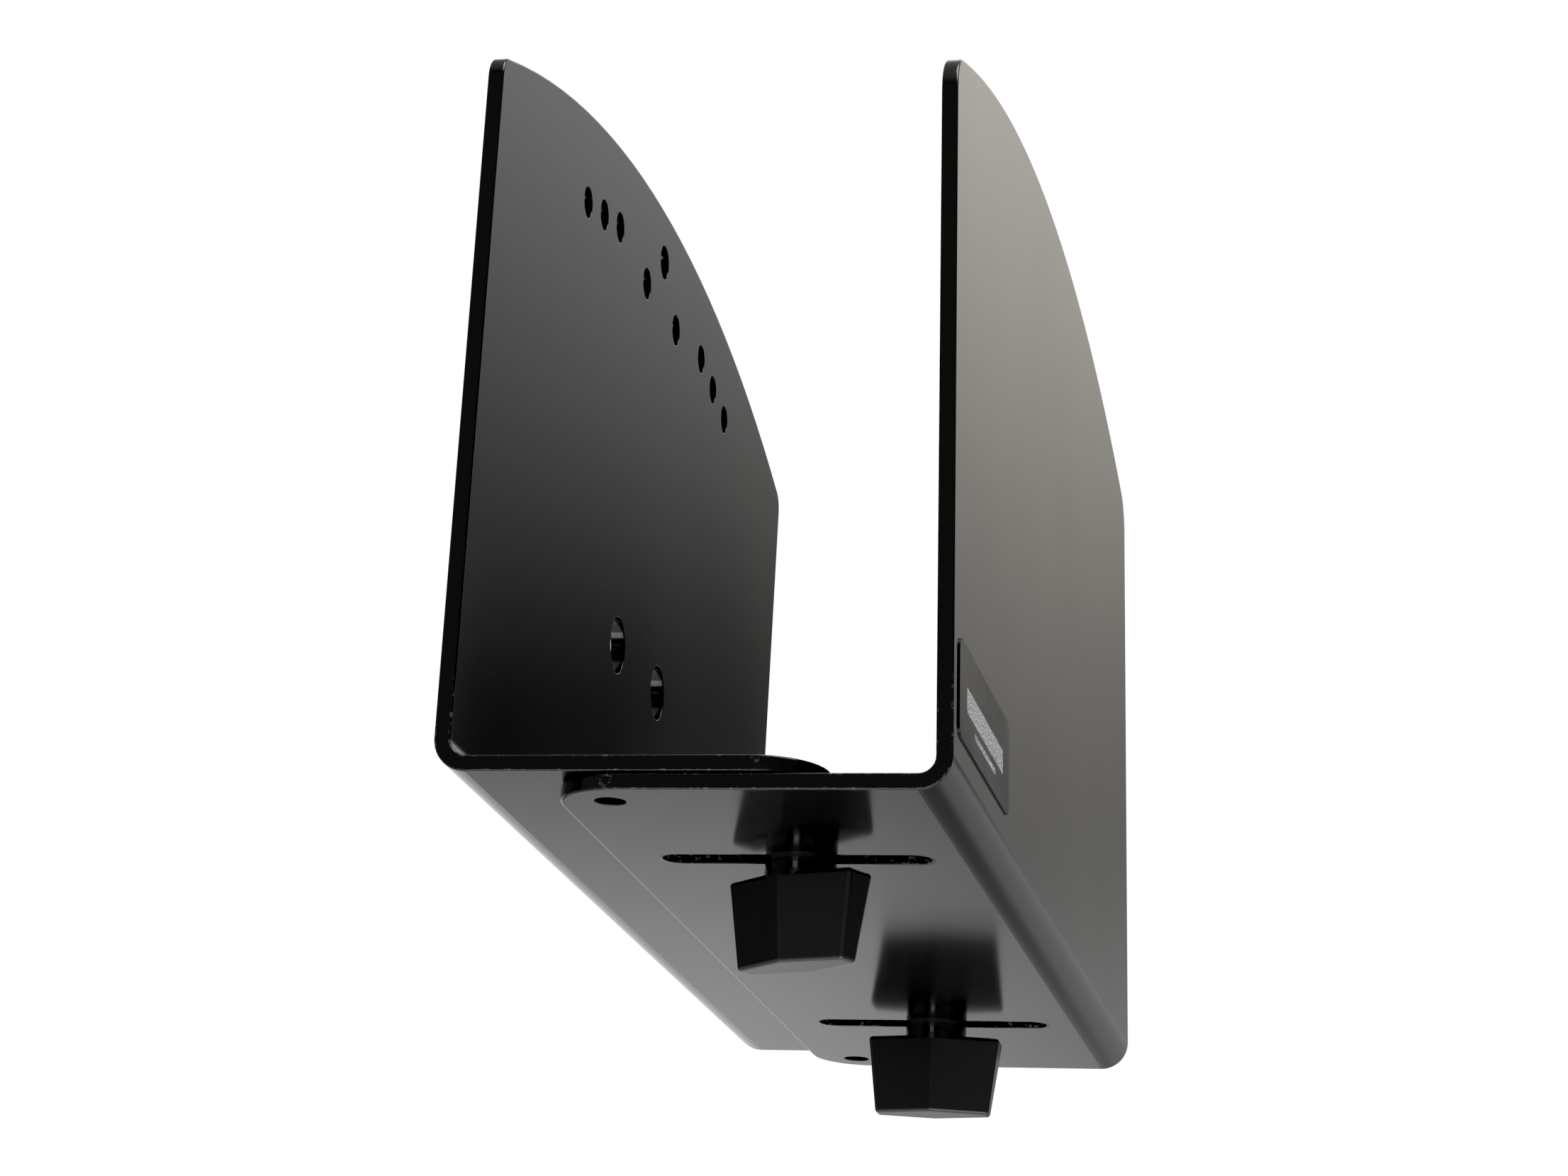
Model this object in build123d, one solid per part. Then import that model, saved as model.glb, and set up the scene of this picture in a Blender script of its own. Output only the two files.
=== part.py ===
from build123d import *
from math import radians, sqrt, tan
import os

# Width-adjustable CPU holder: two L-shaped steel plates whose bases overlap under the computer and are
# clamped together by two wing knobs below. All sizes are in millimetres.
#
# Frame: the origin is on the wall bracket's mounting face, at the middle of the mounting holes.
# +X points from the mounting face across the computer, +Y to the back and +Z up.

# Sheet metal
sheet = 3.0                  # plate thickness
bend_radius = 3.0            # inside radius of both bends
edge_break = 0.5             # rounding of the plates' cut outlines
rim_break = 0.2              # rounding of punched hole and slot rims
depth = 254.0                # front to back, both plates
base_under = -140.0          # underside of the lower (outer) base
base_gap = 0.3               # paint and flatness clearance between the two bases
wall_end_height = 136.2      # each wall's height at its front and back edges, above its own base's underside
wall_rise = 21.8             # how much higher the arched top is in the middle
inner_corner = 5.0           # radius of the wall bracket's top corners
outer_corner = 9.0           # radius of the outer bracket's top corners
free_corner = 12.0           # radius of the bases' free corners

# Wall bracket
wall_base_reach = 68.7       # mounting face to the base's free edge
hole_pitch = 12.7            # spacing of the small side holes
side_hole_steps = (3, 4, 5)  # their places, in pitches from the middle
side_hole_fall = 2.6         # each is this much lower than the one before
small_hole = 6.2             # diameter of the small side holes
centre_pair_spacing = 27.2
centre_pair_hole = 6.6
top_hole = 7.2
top_hole_height = 10.3       # above the row of mounting holes
low_pair_spacing = 35.2
low_pair_hole = 11.6
low_pair_drop = 81.0         # below the row of mounting holes

# Outer bracket
outer_width = 92.3           # mounting face to the outside of the outer wall, at base_under
outer_base_edge = 20.8       # mounting face to the outer base's free edge
inward_lean = 1.9            # degrees that the outer wall leans inward, to grip the computer
slot_length = 50.4           # end to end
slot_width = 7.0
slot_centre = 55.2
clamp_spacing = 152.4        # between the two slots, front to back
corner_hole = 5.6
corner_hole_x = 30.4
corner_hole_spacing = 237.0

# Clamp set
stud_x = 56.0
stud = 6.0                   # thread diameter
stud_length = 20.0
stud_head = 8.4
stud_head_thickness = 1.2
washer_diameter = 13.0
washer_hole = 6.6
washer_thickness = 1.0
neck = 13.2                  # diameter of the knob's neck
neck_height = 2.5
knob_height = 16.6           # below the neck
knob_top = (14.4, 3.3, 6.6)  # half length, half width at the ends, half width at the ridge
knob_bottom = (12.4, 2.0, 5.1)
knob_edge = 0.8
knob_angles = {"front": -28.0, "rear": 2.0}
insert_diameter = 8.0
insert_length = 12.0
insert_clearance = 0.05      # radial, round the stud
stud_room = 2.5              # free depth in the knob beyond the stud

# Label
label_width = 58.0
label_height = 18.0
label_thickness = 0.3
label_corner = 2.5
label_front = 5.0            # from the wall's front edge
label_bottom = 11.0          # above base_under

lean_slope = -tan(radians(inward_lean))
clamps = {"front": -clamp_spacing / 2, "rear": clamp_spacing / 2}
upper_base_under = base_under + sheet + base_gap
upper_base_top = upper_base_under + sheet
neck_top = base_under - washer_thickness
neck_bottom = neck_top - neck_height
stud_tip = upper_base_top - stud_length


def bent_section(free_x, corner_x, under, slope):
    """The plate's L-shaped section: a base from free_x to corner_x, and a wall that moves in X by slope."""
    side = 1 if corner_x > free_x else -1
    reach = wall_end_height + wall_rise + 10
    across = side * sheet * sqrt(1 + slope**2)
    points = [
        (free_x, under),
        (corner_x, under),
        (corner_x + slope * reach, under + reach),
        (corner_x + slope * reach - across, under + reach),
        (corner_x + slope * sheet - across, under + sheet),
        (free_x, under + sheet),
    ]
    section = make_face(Polyline(*points, close=True))
    inside = section.vertices().sort_by_distance((*points[4], 0))[0]
    section = fillet(inside, bend_radius)
    outside = section.vertices().sort_by_distance((*points[1], 0))[0]
    return fillet(outside, bend_radius + sheet)


def wall_outline(under, corner):
    """The arched wall seen from the side, carried down past the base's underside."""
    low = under - 10
    shoulder = under + wall_end_height
    sides = Polyline((depth / 2, shoulder), (depth / 2, low), (-depth / 2, low), (-depth / 2, shoulder))
    arch = ThreePointArc((-depth / 2, shoulder), (0, shoulder + wall_rise), (depth / 2, shoulder))
    outline = make_face(sides + arch)
    shoulders = outline.vertices().group_by(Axis.Y)[-1]
    return fillet(shoulders, corner)


def base_outline(free_x, far_x):
    """The base seen from above, with its two free corners rounded."""
    outline = Pos((free_x + far_x) / 2, 0) * Rectangle(abs(far_x - free_x), depth)
    end = 0 if free_x < far_x else -1
    return fillet(outline.vertices().group_by(Axis.X)[end], free_corner)


def sharp_edges(solid):
    """The edges where two faces meet at more than 60 degrees."""
    sharp = []
    for edge in solid.edges():
        middle = edge.position_at(0.5)
        sides = [face for face in solid.faces() if edge in face.edges()]
        if len(sides) == 2:
            first, second = [face.normal_at(middle) for face in sides]
            if first.get_angle(second) > 60:
                sharp.append(edge)
    return sharp


def bent_plate(free_x, corner_x, under, top_corner, slope=0):
    """An L-shaped plate with an arched wall and rounded corners."""
    past = corner_x + (20 if corner_x > free_x else -20)
    plate = extrude(Plane.XZ * bent_section(free_x, corner_x, under, slope), depth / 2, both=True)
    plate &= extrude(Plane.YZ * wall_outline(under, top_corner), 300, both=True)
    plate &= extrude(base_outline(free_x, past), 300, both=True)
    return plate


def edges_broken(plate, radius):
    """The plate with all of the edges that are still sharp rounded."""
    return fillet(sharp_edges(plate.solid()), radius)


def wall_hole(y, z, diameter):
    """A cutter for a hole through the mounting wall."""
    return Pos(sheet / 2, y, z) * Rot(Y=90) * Cylinder(diameter / 2, sheet * 4)


def wall_bracket():
    """The plate that is fixed to the desk or wall, with its mounting holes and stud holes."""
    plate = bent_plate(wall_base_reach, 0, upper_base_under, inner_corner)
    plate = edges_broken(plate, edge_break)
    for side in (-1, 1):
        for place, step in enumerate(side_hole_steps):
            plate -= wall_hole(side * step * hole_pitch, side_hole_fall * (1 - place), small_hole)
        plate -= wall_hole(side * centre_pair_spacing / 2, 0, centre_pair_hole)
        plate -= wall_hole(side * low_pair_spacing / 2, -low_pair_drop, low_pair_hole)
    plate -= wall_hole(0, top_hole_height, top_hole)
    plate = edges_broken(plate, rim_break)
    for y in clamps.values():
        plate -= clamp_stud(y)
    return plate


def outer_bracket():
    """The sliding plate, with its adjustment slots and corner holes."""
    plate = bent_plate(outer_base_edge, outer_width, base_under, outer_corner, lean_slope)
    plate = edges_broken(plate, edge_break)
    for y in clamps.values():
        slot = Pos(slot_centre, y, base_under) * SlotOverall(slot_length, slot_width)
        plate -= extrude(slot, sheet * 2, both=True)
    for side in (-1, 1):
        place = Pos(corner_hole_x, side * corner_hole_spacing / 2, base_under)
        plate -= place * Cylinder(corner_hole / 2, sheet * 4)
    return edges_broken(plate, rim_break)


def clamp_stud(y):
    """A flush-head stud, pressed into the upper base and pointing down."""
    place = Pos(stud_x, y, upper_base_top)
    head = Cylinder(stud_head / 2, stud_head_thickness, align=(Align.CENTER, Align.CENTER, Align.MAX))
    shank = Cylinder(stud / 2, stud_length, align=(Align.CENTER, Align.CENTER, Align.MAX))
    tip = shank.edges().group_by(Axis.Z)[0]
    return place * (head + chamfer(tip, stud / 10))


def thrust_washer(y):
    """The plain washer between the knob's neck and the lower base."""
    ring = Circle(washer_diameter / 2) - Circle(washer_hole / 2)
    return Pos(stud_x, y, base_under - washer_thickness) * extrude(ring, washer_thickness)


def lozenge(half_length, half_end, half_ridge):
    """The knob's plan: two short ends, and long sides that each rise to a ridge in the middle."""
    quarter = [(half_length, half_end), (0, half_ridge), (-half_length, half_end)]
    return make_face(Polyline(*quarter, *[(-x, -y) for x, y in quarter], close=True))


def wing_knob(y, angle):
    """A tapered wing knob with a round neck and a blind pocket for its insert and the stud."""
    wide = lozenge(*knob_top)
    narrow = Pos(0, 0, -knob_height) * lozenge(*knob_bottom)
    body = loft([wide, narrow])
    body = fillet(body.edges(), knob_edge)
    body = Pos(0, 0, neck_bottom) * Rot(Z=angle) * body
    collar_height = neck_height + knob_edge
    collar = Cylinder(neck / 2, collar_height, align=(Align.CENTER, Align.CENTER, Align.MAX))
    body += Pos(0, 0, neck_top) * collar
    pocket = Cylinder(insert_diameter / 2, insert_length, align=(Align.CENTER, Align.CENTER, Align.MAX))
    relief_depth = neck_top - stud_tip + stud_room
    relief = Cylinder(washer_hole / 2, relief_depth, align=(Align.CENTER, Align.CENTER, Align.MAX))
    return Pos(stud_x, y) * (body - Pos(0, 0, neck_top) * (pocket + relief))


def knob_insert(y):
    """The threaded brass insert moulded into a knob."""
    ring = Circle(insert_diameter / 2) - Circle(stud / 2 + insert_clearance)
    return Pos(stud_x, y, neck_top - insert_length) * extrude(ring, insert_length)


def blank_label():
    """The label on the outside of the leaning wall."""
    middle_y = -depth / 2 + label_front + label_width / 2
    middle_rise = label_bottom + label_height / 2
    face = Plane(
        origin=(outer_width + lean_slope * middle_rise, middle_y, base_under + middle_rise),
        x_dir=(0, 1, 0),
        z_dir=(1, 0, -lean_slope),
    )
    return extrude(face * RectangleRounded(label_width, label_height, label_corner), label_thickness)


nodes = {"wall_bracket": wall_bracket(), "outer_bracket": outer_bracket(), "label": blank_label()}
for name, y in clamps.items():
    nodes[f"{name}_stud"] = clamp_stud(y)
    nodes[f"{name}_washer"] = thrust_washer(y)
    nodes[f"{name}_knob"] = wing_knob(y, knob_angles[name])
    nodes[f"{name}_insert"] = knob_insert(y)

os.makedirs("parts", exist_ok=True)
for name, shape in nodes.items():
    export_step(shape, f"parts/{name}.step")
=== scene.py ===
import math
import bmesh
import bpy
from mathutils import Matrix, Vector


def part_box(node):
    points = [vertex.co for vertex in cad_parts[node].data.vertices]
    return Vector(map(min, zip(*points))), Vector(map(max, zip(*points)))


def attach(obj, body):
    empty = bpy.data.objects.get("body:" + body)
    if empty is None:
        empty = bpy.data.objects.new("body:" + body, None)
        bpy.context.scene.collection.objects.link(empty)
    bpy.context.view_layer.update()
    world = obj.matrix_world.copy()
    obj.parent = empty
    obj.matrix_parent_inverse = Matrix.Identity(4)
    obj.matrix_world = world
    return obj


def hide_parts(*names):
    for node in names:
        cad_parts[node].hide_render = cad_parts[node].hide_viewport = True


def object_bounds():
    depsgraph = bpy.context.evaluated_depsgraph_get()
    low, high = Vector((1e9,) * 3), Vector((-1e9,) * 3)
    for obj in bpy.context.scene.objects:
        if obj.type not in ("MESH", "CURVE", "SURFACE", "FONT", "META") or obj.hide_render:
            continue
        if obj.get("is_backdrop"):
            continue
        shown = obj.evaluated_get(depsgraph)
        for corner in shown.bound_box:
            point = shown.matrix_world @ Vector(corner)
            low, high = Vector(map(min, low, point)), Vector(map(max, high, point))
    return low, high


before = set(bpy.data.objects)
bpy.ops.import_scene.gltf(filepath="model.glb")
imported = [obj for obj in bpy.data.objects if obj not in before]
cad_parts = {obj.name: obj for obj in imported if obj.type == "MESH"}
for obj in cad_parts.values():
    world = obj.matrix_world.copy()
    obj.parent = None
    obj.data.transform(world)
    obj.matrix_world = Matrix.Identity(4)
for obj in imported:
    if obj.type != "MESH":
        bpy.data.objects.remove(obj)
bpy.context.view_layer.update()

# ---------------------------------------------------------------------------------------------------
# Wall bracket: the L-shaped plate that is screwed to the desk. It is laser-cut 3 mm steel sheet, bent
# once in a press brake, hung by its holes and powder coated satin black, so the coat has a faint
# orange peel. It is rough along the base's front and rear edges, and a lighter grey is painted there
# as a highlight, for the broken light line those lower edges catch.
# ---------------------------------------------------------------------------------------------------
coat_black = (0.0045, 0.0045, 0.0052, 1)
painted_edge_highlight = (0.075, 0.078, 0.085, 1)     # painted highlight: a lighter grey for the broken light line along the lower edges
coat_roughness = (0.135, 0.155)
half_depth = 0.127
rim_width = 0.00055                      # how far in from a front or rear edge the coat is rough
rim_full = 0.0003                        # how far in it is as rough as it gets
rim_end = 0.00005                        # how far in it starts
rim_top = (-0.118, -0.128)               # heights between which the rough rim fades in, going down
rim_extra_roughness = 0.12
highlight_grain = (0.56, 0.7)                 # grain heights between which the painted highlight shows
smears_per_metre = 16
noise_middle = (0.3, 0.7)                # the part of a noise's range that most of it falls in
peel_per_metre = 1800
peel_height = 0.0040                     # millimetres
rim_grain_per_metre = 900
rim_grain_height = 0.10                  # millimetres


class Graph:
    """One material's nodes, added and linked a line at a time."""

    def __init__(self, name):
        self.material = bpy.data.materials.new(name)
        self.material.use_nodes = True
        self.tree = self.material.node_tree
        self.shader = self.tree.nodes["Principled BSDF"]
        self.place = self.add("ShaderNodeTexCoord").outputs["Object"]

    def add(self, kind, settings=None, **inputs):
        """A node of that kind. An input is a value, or another node's output."""
        node = self.tree.nodes.new(kind)
        for key, value in (settings or {}).items():
            setattr(node, key, value)
        for key, value in inputs.items():
            self.feed(node, key, value)
        return node

    def feed(self, node, key, value):
        """Sets or links the input named key, where _ stands for a space and in0 for the first input."""
        by_number = key[:2] == "in" and key[2:].isdigit()
        socket = node.inputs[int(key[2:])] if by_number else node.inputs[key.replace("_", " ")]
        if isinstance(value, bpy.types.NodeSocket):
            self.tree.links.new(value, socket)
        else:
            socket.default_value = value

    def math(self, operation, *values):
        settings = {"operation": operation}
        return self.add("ShaderNodeMath", settings, **{f"in{i}": v for i, v in enumerate(values)}).outputs[0]

    def times(self, first, second):
        return self.math("MULTIPLY", first, second)

    def plus(self, first, second):
        return self.math("ADD", first, second)

    def minus(self, first, second):
        return self.math("SUBTRACT", first, second)

    def most(self, first, second):
        return self.math("MAXIMUM", first, second)

    def noise(self, per_metre, detail=2):
        node = self.add("ShaderNodeTexNoise", Vector=self.place, Scale=per_metre, Detail=detail)
        return node.outputs["Fac"]

    def ramp(self, value, low, high, to_low=0.0, to_high=1.0, smooth=False):
        kind = {"interpolation_type": "SMOOTHSTEP" if smooth else "LINEAR"}
        node = self.add("ShaderNodeMapRange", kind, Value=value, From_Min=low, From_Max=high)
        node.inputs["To Min"].default_value = to_low
        node.inputs["To Max"].default_value = to_high
        return node.outputs[0]

    def blend(self, amount, first, second):
        node = self.add("ShaderNodeMix", {"data_type": "RGBA"}, in0=amount)
        self.feed(node, "in6", first)
        self.feed(node, "in7", second)
        return node.outputs[2]

    def bump(self, millimetres):
        node = self.add("ShaderNodeBump", Height=millimetres, Strength=1.0, Distance=0.001)
        self.feed(self.shader, "Normal", node.outputs[0])

    def set(self, **inputs):
        for key, value in inputs.items():
            self.feed(self.shader, key, value)


def dress(node, material):
    """Gives a carried-over CAD node its material."""
    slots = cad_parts[node].data.materials
    slots.clear()
    slots.append(material)


def powder_coat(name, slots=()):
    """Satin black powder coat. slots are the (x, y, half length, half width) of slots in the base."""
    g = Graph(name)
    split = g.add("ShaderNodeSeparateXYZ", Vector=g.place).outputs
    out = g.math("ABSOLUTE", split[1])
    inner_side = g.ramp(out, half_depth - rim_width, half_depth - rim_full)
    rim = g.times(inner_side, g.ramp(out, half_depth, half_depth - rim_end))
    rim = g.times(rim, g.ramp(split[2], *rim_top))
    for x, y, half_length, half_width in slots:
        past_middle = g.minus(g.math("ABSOLUTE", g.minus(split[0], x)), half_length - half_width)
        along = g.most(past_middle, 0.0)
        across = g.minus(split[1], y)
        reach = g.math("SQRT", g.plus(g.times(along, along), g.times(across, across)))
        rim = g.most(rim, g.ramp(reach, half_width + rim_width, half_width + rim_width * 0.5))
    peel = g.times(g.noise(peel_per_metre, 3), peel_height)
    grain = g.noise(rim_grain_per_metre, 4)
    burr = g.times(g.times(grain, rim), rim_grain_height)
    g.bump(g.plus(peel, burr))
    # Lighter grey speckles along those rims are a painted highlight: the broken light line that the lower
    # edges catch.
    painted_highlight = g.times(g.ramp(grain, *highlight_grain), rim)
    g.set(Base_Color=g.blend(painted_highlight, coat_black, painted_edge_highlight))
    smears = g.ramp(g.noise(smears_per_metre, 4), *noise_middle, *coat_roughness)
    g.set(Roughness=g.plus(smears, g.times(rim, rim_extra_roughness)))
    g.set(IOR=1.5)
    return g.material


dress("wall_bracket", powder_coat("powder_coat_wall_plate"))

# ---------------------------------------------------------------------------------------------------
# Outer bracket: the matching plate that slides in and out under the first one and leans in a little to
# grip the computer. It is the same cut, bent and coated steel, with two long slots for the clamp studs.
# Their punched rims are rough, and they carry the same painted highlight of lighter grey speckles.
# ---------------------------------------------------------------------------------------------------
slot_x = 0.0552
slot_half_length = 0.0252
slot_half_width = 0.0035
clamp_x = 0.056
clamp_y = {"front": -0.0762, "rear": 0.0762}

slot_places = [(slot_x, y, slot_half_length, slot_half_width) for y in clamp_y.values()]
dress("outer_bracket", powder_coat("powder_coat_outer_plate", slot_places))

# ---------------------------------------------------------------------------------------------------
# Label: a blank black polyester label with rounded corners, stuck low down on the outside of the outer
# wall near the front. It has only a plain pale bar and a thin line under it, printed a little unevenly.
# ---------------------------------------------------------------------------------------------------
label_black = (0.0095, 0.0095, 0.0105, 1)
label_pale = (0.50, 0.51, 0.53, 1)
label_roughness = (0.2, 0.26)
bar_below_middle = 0.0005
bar_half_length = 0.021
bar_half_height = 0.0022
line_below_middle = 0.0048
line_half_length = 0.012
line_half_height = 0.0005
label_low, label_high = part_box("label")
label_middle_y = (label_low.y + label_high.y) / 2
label_middle_z = (label_low.z + label_high.z) / 2

g = Graph("label_film")
split = g.add("ShaderNodeSeparateXYZ", Vector=g.place).outputs
off_y = g.math("ABSOLUTE", g.minus(split[1], label_middle_y))
off_z = g.math("ABSOLUTE", g.minus(split[2], label_middle_z - bar_below_middle))
in_length = g.ramp(off_y, bar_half_length + 0.0002, bar_half_length)
in_bar = g.times(in_length, g.ramp(off_z, bar_half_height + 0.00015, bar_half_height))
off_z = g.math("ABSOLUTE", g.minus(split[2], label_middle_z - line_below_middle))
in_length = g.ramp(off_y, line_half_length + 0.0002, line_half_length)
in_line = g.times(in_length, g.ramp(off_z, line_half_height + 0.0001, line_half_height))
printed = g.times(g.most(in_bar, in_line), g.ramp(g.noise(2600, 2), 0.35, 0.6))
g.set(Base_Color=g.blend(printed, label_black, label_pale))
g.set(Roughness=g.ramp(g.noise(60, 3), *noise_middle, *label_roughness), IOR=1.5)
g.bump(g.times(g.noise(500, 2), 0.004))
dress("label", g.material)

# ---------------------------------------------------------------------------------------------------
# Clamp studs: M6 steel studs with a thin flush head, pressed into the wall bracket's base and pointing
# down through the slots. The thread is rolled, the tip is chamfered, and the steel is zinc plated.
# ---------------------------------------------------------------------------------------------------
thread_radius = 0.00294
thread_root = 0.00252
thread_pitch = 0.001
plain_shank = 0.0045                     # from the head's top to the first thread
ridge_slope = 1.6                        # over 1 leaves a flat on the crest
ridge_drop = 0.15                        # leaves a flat in the root
tip_chamfer = 0.0007
head_break = 0.0002                      # rounding of the head's top edge
head_thickness = 0.0012
zinc_dark = (0.40, 0.41, 0.43, 1)
zinc_light = (0.62, 0.63, 0.64, 1)
zinc_roughness = (0.28, 0.42)
thread_smooth_angle = 75                 # degrees
turn_steps = 48
rows_per_turn = 8

g = Graph("zinc_plated_steel")
g.set(Base_Color=g.blend(g.noise(900, 3), zinc_dark, zinc_light))
g.set(Metallic=1.0, Roughness=g.ramp(g.noise(2500, 2), *noise_middle, *zinc_roughness))
g.bump(g.times(g.noise(4000, 2), 0.004))
zinc = g.material


def lathe_rings(name, rings, material, smooth_angle):
    """A closed mesh from rings of points, each ring a list of equal length, capped at both ends."""
    mesh = bmesh.new()
    rows = [[mesh.verts.new(point) for point in ring] for ring in rings]
    for upper, lower in zip(rows, rows[1:]):
        for i in range(len(upper)):
            j = (i + 1) % len(upper)
            mesh.faces.new((upper[i], lower[i], lower[j], upper[j]))
    mesh.faces.new(list(reversed(rows[-1])))
    mesh.faces.new(rows[0])
    bmesh.ops.recalc_face_normals(mesh, faces=mesh.faces)
    data = bpy.data.meshes.new(name)
    mesh.to_mesh(data)
    mesh.free()
    data.materials.append(material)
    data.shade_smooth()
    data.set_sharp_from_angle(angle=math.radians(smooth_angle))
    piece = bpy.data.objects.new(name, data)
    bpy.context.scene.collection.objects.link(piece)
    return piece


def stud_radius(angle, drop, length):
    """The thread's radius at that angle, that far below the head's top."""
    phase = (drop / thread_pitch - angle / (2 * math.pi)) % 1
    ridge = min(1, max(0, ridge_slope * abs(2 * phase - 1) - ridge_drop))
    run_in = min(1, max(0, (drop - plain_shank) / thread_pitch))
    radius = thread_radius - (thread_radius - thread_root) * (1 - ridge) * run_in
    to_tip = length - drop
    return min(radius, thread_radius - tip_chamfer + to_tip)


def ring(y, top, drop, radii):
    """Points round a stud, drop below its head's top, one radius for each angle."""
    return [
        (clamp_x + r * math.cos(a), y + r * math.sin(a), top - drop)
        for r, a in zip(radii, angles)
    ]


angles = [2 * math.pi * i / turn_steps for i in range(turn_steps)]
for end, y in clamp_y.items():
    low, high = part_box(f"{end}_stud")
    head_radius = (high.x - low.x) / 2
    length = high.z - low.z
    head = [
        (head_radius - head_break, 0),
        (head_radius, head_break),
        (head_radius, head_thickness - 0.0001),
        (head_radius - 0.0001, head_thickness),
    ]
    rings = [ring(y, high.z, drop, [r] * turn_steps) for r, drop in head]
    shank_top = head_thickness + 0.00001
    rows = int((length - head_thickness - 0.0001) / thread_pitch * rows_per_turn)
    for row in range(rows + 1):
        drop = shank_top + (length - shank_top) * row / rows
        rings.append(ring(y, high.z, drop, [stud_radius(a, drop, length) for a in angles]))
    stud = lathe_rings(f"{end}_threaded_stud", rings, zinc, thread_smooth_angle)
    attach(stud, "wall_side")
    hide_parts(f"{end}_stud")

# ---------------------------------------------------------------------------------------------------
# Thrust washers: plain stamped steel washers with a black finish, one between each knob and the lower
# base, so that turning the knob doesn't scrape the coat. The stamping leaves faint rings in them.
# ---------------------------------------------------------------------------------------------------
washer_black = (0.006, 0.006, 0.006, 1)
washer_worn = (0.02, 0.02, 0.021, 1)
washer_roughness = (0.3, 0.45)
stamped_rings = {"wave_type": "RINGS", "rings_direction": "Z"}

for end, y in clamp_y.items():
    g = Graph(f"black_washer_{end}")
    shift = g.add("ShaderNodeVectorMath", {"operation": "SUBTRACT"}, in0=g.place, in1=(clamp_x, y, 0))
    centred = shift.outputs[0]
    wave = g.add("ShaderNodeTexWave", stamped_rings, Vector=centred, Scale=900, Distortion=1.5)
    g.set(Base_Color=g.blend(g.noise(1200, 3), washer_black, washer_worn))
    g.set(Roughness=g.ramp(g.noise(900, 2), *noise_middle, *washer_roughness), IOR=1.6)
    g.bump(g.times(wave.outputs["Fac"], 0.004))
    dress(f"{end}_washer", g.material)

# ---------------------------------------------------------------------------------------------------
# Clamp knobs: black glass-filled nylon, moulded in one piece with a round neck and a tapered body with
# flat facets. The mould's fine spark texture leaves the facets satin. The neck is smooth, and a band of
# it is polished.
# ---------------------------------------------------------------------------------------------------
nylon_black = (0.0050, 0.0050, 0.0054, 1)
nylon_pale = (0.0065, 0.0065, 0.007, 1)
nylon_roughness = (0.24, 0.29)
polish = 0.16                            # how much less rough the polished band is
knob_texture_per_metre = 3200
knob_texture_height = 0.012              # millimetres
neck_bottom = -0.1435
polish_low = neck_bottom + 0.0005
polish_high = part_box("front_washer")[0].z - 0.0008
blend_height = 0.0001                    # half the height over which one finish turns into the next

g = Graph("moulded_nylon")
split = g.add("ShaderNodeSeparateXYZ", Vector=g.place).outputs
on_neck = g.ramp(split[2], neck_bottom - blend_height, neck_bottom + blend_height)
over_low = g.ramp(split[2], polish_low - blend_height, polish_low + blend_height)
polished = g.times(over_low, g.ramp(split[2], polish_high + blend_height, polish_high - blend_height))
g.set(Base_Color=g.blend(g.noise(150, 3), nylon_black, nylon_pale))
satin = g.ramp(g.noise(90, 3), *noise_middle, *nylon_roughness)
g.set(Roughness=g.minus(satin, g.times(polished, polish)), IOR=1.72)
texture = g.times(g.noise(knob_texture_per_metre, 2), g.minus(1.0, on_neck))
g.bump(g.times(texture, knob_texture_height))
for end in clamp_y:
    dress(f"{end}_knob", g.material)

# ---------------------------------------------------------------------------------------------------
# Knob inserts: turned brass bushes with an M6 thread, moulded into the knobs. Only a thin rim of each
# one shows, inside its washer's hole, when its knob is run down its stud.
# ---------------------------------------------------------------------------------------------------
brass_dark = (0.58, 0.38, 0.13, 1)
brass_light = (0.75, 0.55, 0.24, 1)
brass_roughness = (0.22, 0.36)

g = Graph("turned_brass")
g.set(Base_Color=g.blend(g.noise(700, 3), brass_dark, brass_light))
g.set(Metallic=1.0, Roughness=g.ramp(g.noise(2000, 2), *noise_middle, *brass_roughness))
g.bump(g.times(g.noise(3500, 2), 0.003))
for end in clamp_y:
    dress(f"{end}_insert", g.material)

# ---------------------------------------------------------------------------------------------------
# Studio: a pale floor well below the bracket, a room whose brightness changes with direction, and soft
# boxes. The room is brightest behind the bracket, so the black coat picks up broad grey reflections, and
# dim on the camera's side. The camera and matt surfaces see it as plain white.
# ---------------------------------------------------------------------------------------------------
floor_z = -1.3
floor_half = 25.0
floor_pale = (0.83, 0.83, 0.83, 1)
floor_paler = (0.86, 0.86, 0.86, 1)

floor_mesh = bpy.data.meshes.new("floor")
corners = [(x * floor_half, y * floor_half, floor_z) for x, y in ((-1, -1), (1, -1), (1, 1), (-1, 1))]
floor_mesh.from_pydata(corners, [], [(0, 1, 2, 3)])
floor = bpy.data.objects.new("floor", floor_mesh)
bpy.context.scene.collection.objects.link(floor)
g = Graph("pale_floor")
g.set(Base_Color=g.blend(g.noise(3, 2), floor_pale, floor_paler), Roughness=0.9)
floor_mesh.materials.append(g.material)
floor.visible_glossy = False
floor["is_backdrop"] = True

world = bpy.data.worlds.new("white_room")
bpy.context.scene.world = world
world.use_nodes = True


class Room(Graph):
    """The room's own nodes."""

    def __init__(self, tree):
        self.tree = tree

    def toward(self, direction):
        """1 in that direction, falling to 0 at right angles to it."""
        settings = {"operation": "DOT_PRODUCT"}
        return self.add("ShaderNodeVectorMath", settings, in0=way, in1=direction).outputs["Value"]


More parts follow.
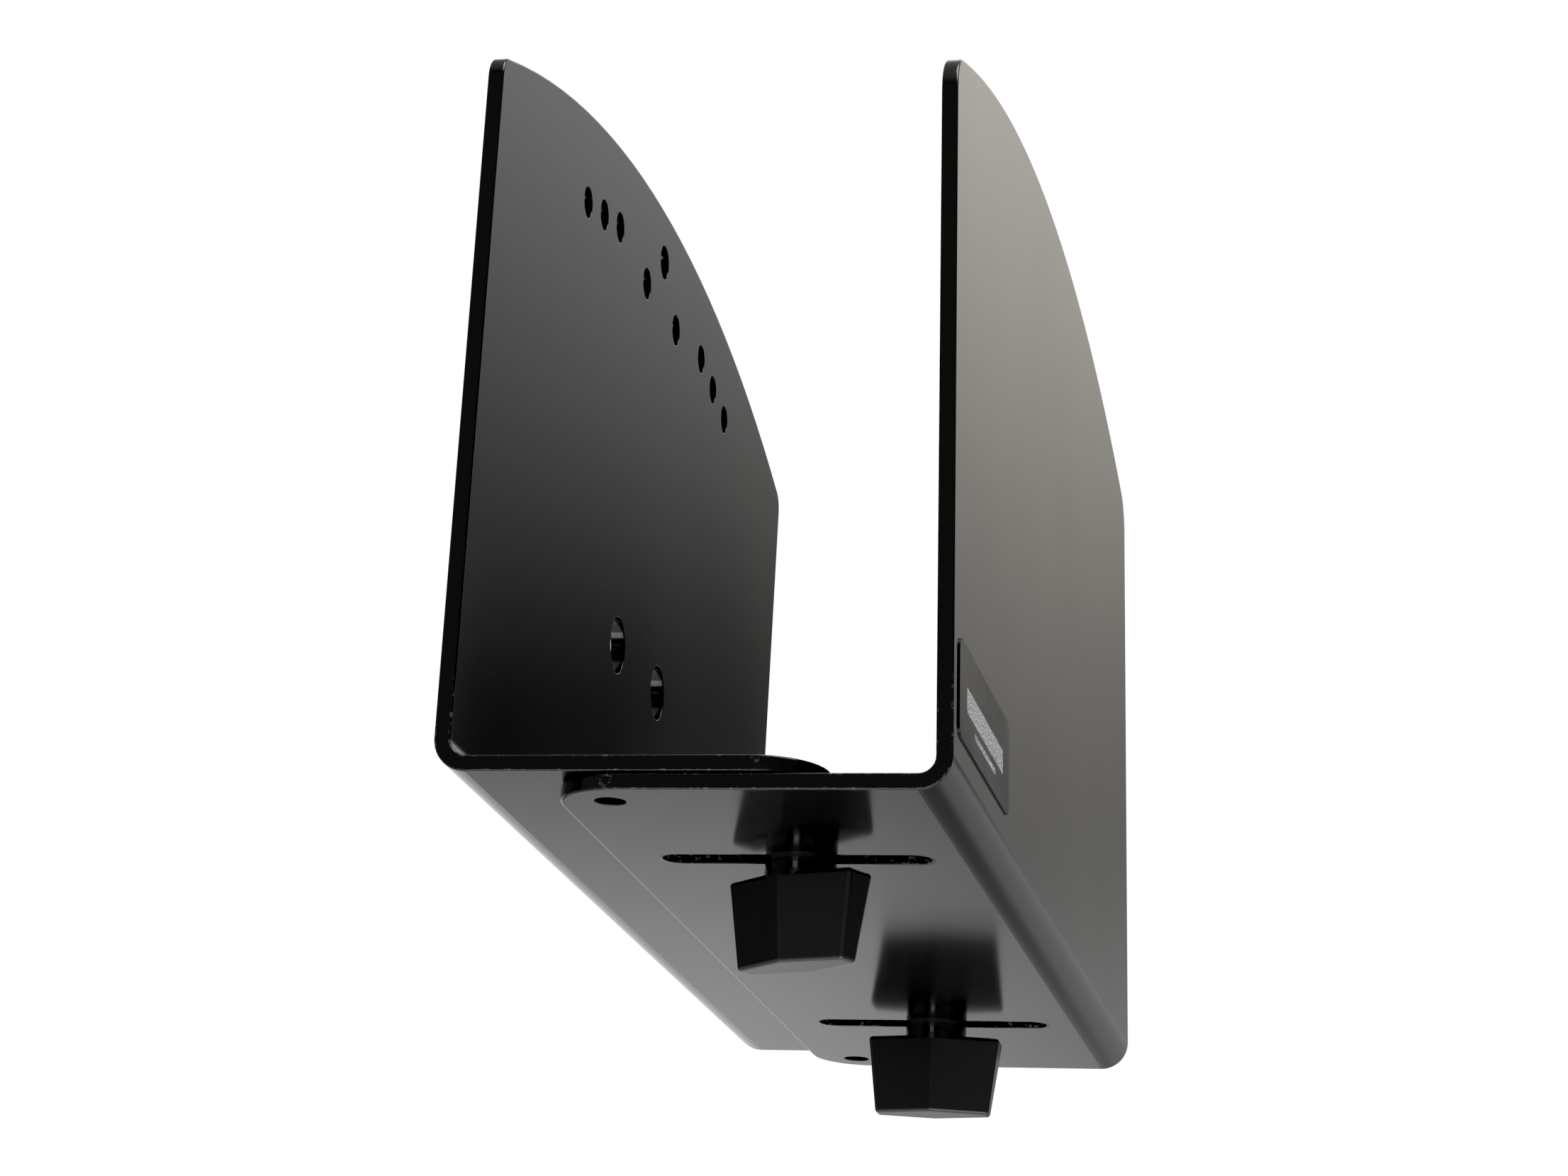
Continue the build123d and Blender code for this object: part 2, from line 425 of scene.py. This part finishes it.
# Behind the bracket: rise is the height above the horizon and turn is the way round from straight
# behind, both in degrees. The last numbers of each ramp are brightnesses.
room = Room(world.node_tree)
way = room.add("ShaderNodeTexCoord").outputs["Generated"]
split = room.add("ShaderNodeSeparateXYZ", Vector=way).outputs
rise = room.math("DEGREES", room.math("ARCSINE", split[2]))
turn = room.math("DEGREES", room.math("ARCTAN2", split[0], split[1]))
outer_part = room.ramp(turn, 6.0, 8.5, 0.20, 0.35)
outer_part = room.times(outer_part, room.ramp(turn, 8.8, 12.5, 1.0, 0.0, True))
inner_part = room.times(room.ramp(turn, 17.0, 13.5, 0.0, 0.07), room.ramp(rise, 16.5, 20.0))
upper = room.plus(room.ramp(rise, 13.5, 31.0, 0.0, 0.86, True), room.most(outer_part, inner_part))
upper = room.plus(upper, room.ramp(turn, -12.0, 2.0, 0.6, 0.0, True))
lower = room.ramp(rise, -16.0, -11.0, 0.26, 0.92, True)
lower = room.times(lower, room.ramp(turn, -13.0, -5.0, 1.0, 0.43))
going_up = room.ramp(rise, 9.0, 15.0, 0, 1, True)
behind = room.plus(lower, room.times(going_up, room.minus(upper, lower)))
ahead = room.ramp(split[1], 0.25, 0.8, 0.0, 1.0, True)
low_ahead = room.times(ahead, room.ramp(rise, -18.0, -30.0, 0.0, 0.95, True))

# Overhead and underneath, and everything on the camera's side.
overhead = room.ramp(rise, 35.0, 60.0, 0.0, 0.5, True)
over_and_under = room.plus(overhead, room.ramp(rise, -33.0, -55.0, 0.0, 0.95, True))
around = room.ramp(rise, -5.0, -15.0, 0.08, 0.42, True)
dim_low_spot = room.ramp(room.toward((-0.17, -0.85, -0.49)), 0.84, 0.94, 1.0, 0.35, True)
around = room.times(around, dim_low_spot)
pale_high_spot = room.ramp(room.toward((-0.2, -0.93, 0.31)), 0.88, 0.97, 0.0, 0.12, True)
around = room.plus(around, pale_high_spot)
right_window = room.ramp(turn, 95.0, 115.0, 0.0, 0.18, True)
right_window = room.times(right_window, room.ramp(turn, 176.0, 164.0, 0, 1, True))
left_window = room.ramp(turn, -95.0, -112.0, 0.0, 0.22, True)
left_window = room.times(left_window, room.ramp(turn, -150.0, -138.0, 0, 1, True))
around = room.most(around, room.most(right_window, left_window))
around = room.times(around, room.minus(1.0, ahead))
darkest = 0.03
glow = room.most(room.times(ahead, behind), over_and_under)
glow = room.most(room.most(room.most(glow, around), low_ahead), darkest)

white = (1, 1, 1, 1)
warm_white = (1.06, 1.02, 0.92, 1)
paths = room.add("ShaderNodeLightPath").outputs
seen = paths["Is Camera Ray"]
plain = room.most(seen, paths["Is Diffuse Ray"])
warm = room.times(room.ramp(turn, 12.0, 9.0), room.ramp(rise, 11.0, 18.0))
background = world.node_tree.nodes["Background"]
room.feed(background, "Color", room.blend(room.times(warm, room.minus(1.0, seen)), white, warm_white))
room.feed(background, "Strength", room.plus(glow, room.times(plain, room.minus(1.0, glow))))


def soft_box(name, place, aim, width, height, watts):
    """A soft light that shows in reflections but not to the camera."""
    light = bpy.data.lights.new(name, "AREA")
    light.shape = "RECTANGLE"
    light.size = width
    light.size_y = height
    light.energy = watts
    lamp = bpy.data.objects.new(name, light)
    lamp.location = place
    lamp.rotation_euler = (Vector(aim) - Vector(place)).to_track_quat("-Z", "Y").to_euler()
    lamp.visible_camera = False
    bpy.context.scene.collection.objects.link(lamp)


bracket_middle = (0.045, 0, -0.06)
soft_box("overhead_box", (0.9, -0.2, 1.5), bracket_middle, 1.2, 1.2, 25)
soft_box("low_box", (0.1, -0.6, -1.1), bracket_middle, 1.0, 0.5, 4)
front_neck = (0.056, -0.076, -0.142)
soft_box("camera_side_box", (-0.10, -1.33, -0.47), front_neck, 0.33, 0.12, 0.6)

camera = bpy.data.cameras.new("camera")
camera.sensor_width = 36
camera.lens = 90.06
viewpoint = bpy.data.objects.new("camera", camera)
camera_place = (0.200886, -0.762074, -0.306083)
camera_turn = 0.216592
camera_tilt = 0.301413
camera_roll = 0.055032
viewpoint.matrix_world = (
    Matrix.Translation(camera_place)
    @ Matrix.Rotation(camera_turn, 4, "Z")
    @ Matrix.Rotation(math.pi / 2 + camera_tilt, 4, "X")
    @ Matrix.Rotation(camera_roll, 4, "Z")
)
bpy.context.scene.collection.objects.link(viewpoint)
bpy.context.scene.camera = viewpoint

black_point = 0.0095                     # brightness that shows as pure black
grading = bpy.context.scene.view_settings
grading.view_transform = "Standard"
grading.use_curve_mapping = True
grading.curve_mapping.black_level = (black_point, black_point, black_point)
grading.curve_mapping.update()

low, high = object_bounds()
